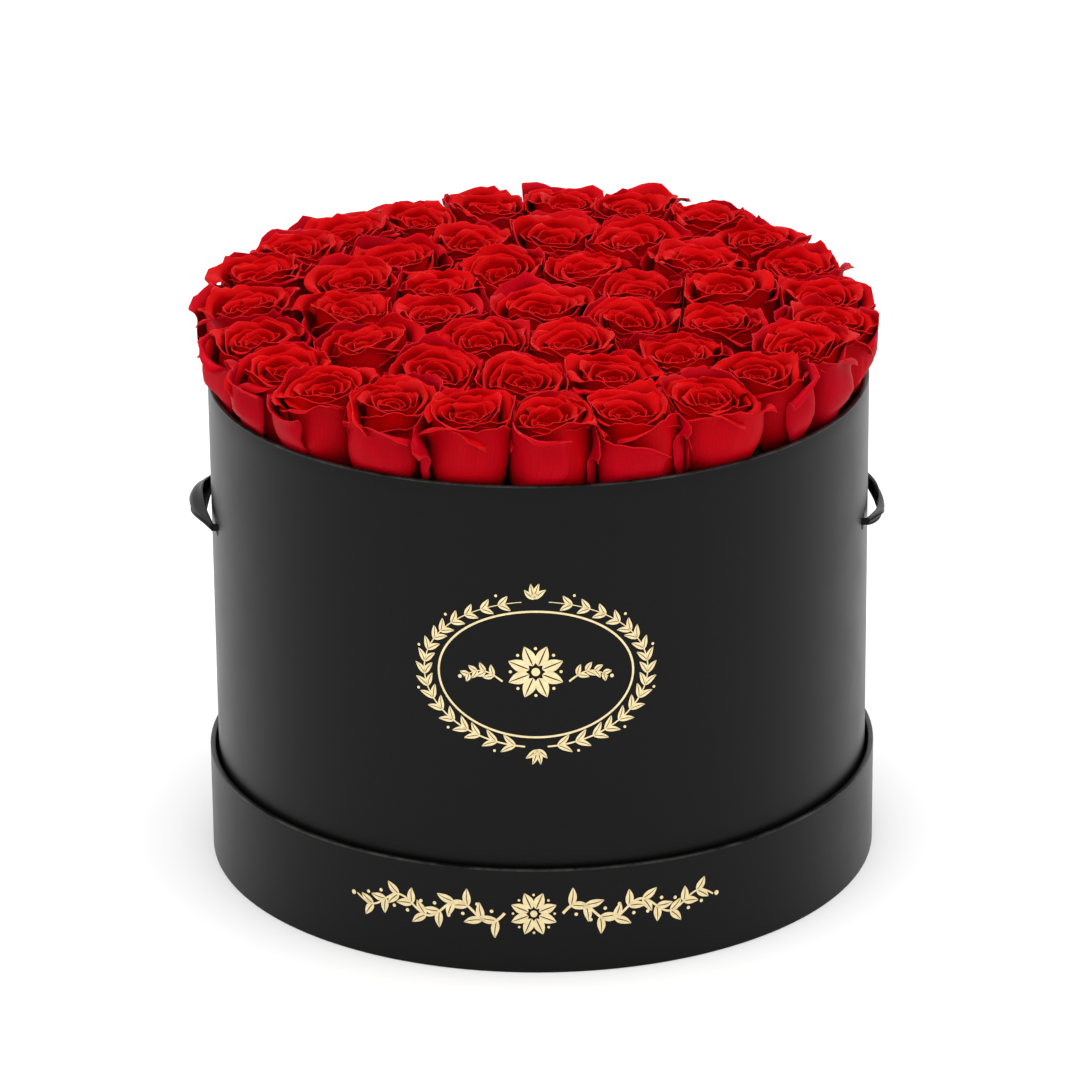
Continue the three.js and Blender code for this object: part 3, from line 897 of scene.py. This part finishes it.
def paper_material():
    m = Nodes("cover_paper", (0.003, 0.003, 0.003), 0.36, Specular_IOR_Level=0.115)
    grain = m.noise(m.coordinates("Object"), 2400, 5.0, 0.65)
    cloud = m.noise(m.coordinates("Object"), 38, 3.0)
    black = m.ramp(grain, [(0.35, (0.0020, 0.0019, 0.0019)), (0.65, (0.0048, 0.0046, 0.0046))])
    patches = m.noise(m.coordinates("Object"), 34, 9.0, 0.8)
    scuffs = m.ramp(patches, [(0.42, (0, 0, 0)), (0.80, (1, 1, 1))])
    wear = m.mix(m.attribute("rim"), (0.0, 0.0, 0.0), scuffs)
    m.color(m.mix(wear, black, (0.085, 0.082, 0.078)))
    m.roughness(m.span(cloud, 0.30, 0.40))
    m.bump(grain, 0.00006, 0.35)
    return m.material


def greyboard_material():
    m = Nodes("greyboard", (0.27, 0.25, 0.22), 0.9, Specular_IOR_Level=0.2)
    fibre = m.noise(m.coordinates("Object", (1, 1, 3)), 700, 6.0, 0.7)
    fleck = m.noise(m.coordinates("Object"), 2600, 2.0)
    base = m.ramp(fibre, [(0.3, (0.19, 0.175, 0.155)), (0.7, (0.34, 0.32, 0.28))])
    m.color(m.mix(m.span(fleck, 0.0, 0.35), base, (0.12, 0.11, 0.10)))
    m.bump(fibre, 0.0002, 0.6)
    return m.material


def foam_material():
    m = Nodes("floral_foam", (0.03, 0.07, 0.03), 0.95, Specular_IOR_Level=0.1)
    pores = m.noise(m.coordinates("Object"), 1500, 6.0, 0.75)
    m.color(m.ramp(pores, [(0.35, (0.010, 0.022, 0.010)), (0.7, (0.05, 0.10, 0.045))]))
    m.bump(pores, 0.0008, 0.9)
    return m.material


def ribbon_material():
    m = Nodes("black_satin", (0.004, 0.004, 0.0045), 0.34, Specular_IOR_Level=0.08)
    threads = m.noise(m.coordinates("UV", (6, 260, 1)), 1.0, 2.0)
    m.color(m.ramp(threads, [(0.35, (0.0015, 0.0015, 0.0017)), (0.65, (0.005, 0.005, 0.0055))]))
    m.roughness(m.span(threads, 0.26, 0.42))
    m.bump(threads, 0.00008, 0.5)
    return m.material


def foil_material():
    m = Nodes("gold_foil", (0.80, 0.65, 0.36), 0.38, Metallic=0.75)
    mottle = m.noise(m.coordinates("Object"), 420, 4.0)
    m.color(m.ramp(mottle, [(0.3, (0.72, 0.57, 0.30)), (0.7, (0.88, 0.74, 0.44))]))
    m.roughness(m.span(mottle, 0.30, 0.46))
    m.bump(mottle, 0.00004, 0.4)
    return m.material


def floor_material():
    m = Nodes("floor", (0.9, 0.9, 0.9), 0.8, Specular_IOR_Level=0.0)
    soft = m.noise(m.coordinates("Object"), 6, 2.0)
    m.color(m.ramp(soft, [(0.0, (0.895, 0.895, 0.895)), (1.0, (0.905, 0.905, 0.905))]))
    return m.material


# ---------------------------------------------------------------- floor, light and camera

CAMERA_BACK = 15.872              # in tray radii, as is CAMERA_UP
CAMERA_UP = 7.182
CAMERA_PITCH = math.radians(21.456)
CAMERA_ROLL = math.radians(-0.539)
CAMERA_LENS = 190.8
SENSOR_WIDTH = 36.0
FAR_LIMIT = 50.0

WORLD_FRONT = 0.88                # the world is darker on the side of the object's front
WORLD_BACK = 1.50
FLOOR_SIZE = 14.0
FLOOR_DROP = 0.3 * MM             # keeps the floor clear of the tray's underside
LIGHT_SIZE = 2.2
LIGHT_TARGET = (0, 0, 0.2)
LIGHTS = {"key": ((-0.45, -0.75, 2.3), 14), "fill": ((0.6, -0.45, 2.3), 13)}     # place and power


def add_camera():
    data = bpy.data.cameras.new("camera")
    data.lens = CAMERA_LENS
    data.sensor_width = SENSOR_WIDTH
    data.clip_end = FAR_LIMIT
    camera = bpy.data.objects.new("camera", data)
    bpy.context.scene.collection.objects.link(camera)
    tilt = Matrix.Rotation(math.pi / 2 - CAMERA_PITCH, 4, "X")
    roll = Matrix.Rotation(CAMERA_ROLL, 4, "Z")
    place = Matrix.Translation((0.0, -CAMERA_BACK * TRAY_RADIUS, CAMERA_UP * TRAY_RADIUS))
    camera.matrix_world = place @ (tilt @ roll)
    bpy.context.scene.camera = camera


def add_area(name, location, power):
    """A round soft light that faces the object."""
    data = bpy.data.lights.new(name, "AREA")
    data.shape = "DISK"
    data.size = LIGHT_SIZE
    data.energy = power
    light = bpy.data.objects.new(name, data)
    bpy.context.scene.collection.objects.link(light)
    direction = np.array(LIGHT_TARGET, float) - np.array(location, float)
    z = -direction / np.linalg.norm(direction)
    x = np.cross([0.0, 1.0, 0.001], z)
    x /= np.linalg.norm(x)
    y = np.cross(z, x)
    matrix = Matrix.Identity(4)
    for row in range(3):
        matrix[row][0], matrix[row][1], matrix[row][2] = x[row], y[row], z[row]
        matrix[row][3] = location[row]
    light.matrix_world = matrix


def add_studio():
    """White world, pale floor and two soft lights."""
    scene = bpy.context.scene
    scene.view_settings.view_transform = "Standard"
    world = bpy.data.worlds.new("studio")
    scene.world = world
    world.use_nodes = True
    nodes, links = world.node_tree.nodes, world.node_tree.links
    background = nodes["Background"]
    background.inputs["Color"].default_value = (1, 1, 1, 1)
    place = nodes.new("ShaderNodeTexCoord")
    axes = nodes.new("ShaderNodeSeparateXYZ")
    span = nodes.new("ShaderNodeMapRange")
    span.inputs["From Min"].default_value = -0.9
    span.inputs["From Max"].default_value = 0.7
    span.inputs["To Min"].default_value = WORLD_FRONT
    span.inputs["To Max"].default_value = WORLD_BACK
    links.new(place.outputs["Generated"], axes.inputs["Vector"])
    links.new(axes.outputs["Y"], span.inputs["Value"])
    links.new(span.outputs["Result"], background.inputs["Strength"])
    half = FLOOR_SIZE / 2
    corners = np.array([[-half, -half, 0], [half, -half, 0], [half, half, 0], [-half, half, 0]])
    floor = new_mesh("floor", corners - [0, 0, FLOOR_DROP], np.array([[0, 1, 2, 3]]), smooth=False)
    floor.data.materials.append(floor_material())
    for name, (location, power) in LIGHTS.items():
        add_area(name, location, power)


# ---------------------------------------------------------------- the object

BOARD_NODES = ("tray_wall", "tray_floor", "box_tube", "box_floor", "riser_ring", "platform")


def make_object():
    """Every Blender piece, and the materials of the CAD nodes that show as they are."""
    paper, ribbon, foil = paper_material(), ribbon_material(), foil_material()
    box_cover = build_cover(
        "box_paper", "box_cover", "box", BOX_RADIUS, BOX_BOTTOM, BOX_RIM, BOX_TURN_IN, paper)
    punch_ribbon_holes(box_cover)
    build_cover(
        "tray_paper", "tray_cover", "tray", TRAY_RADIUS, TRAY_BOTTOM, TRAY_RIM, TRAY_TURN_IN, paper)
    build_wreath(foil)
    build_border(foil)
    for side_name, side in (("left", -1), ("right", 1)):
        build_handle(side_name, side, ribbon)
        build_inner_ribbon(side_name, side, ribbon)
    build_roses([petal_material(), green_material()])
    board, foam = greyboard_material(), foam_material()
    for node in (*BOARD_NODES, "foam_block"):
        slots = frame["nodes"][node].data.materials
        slots.clear()
        slots.append(foam if node == "foam_block" else board)


add_camera()
add_studio()
make_object()
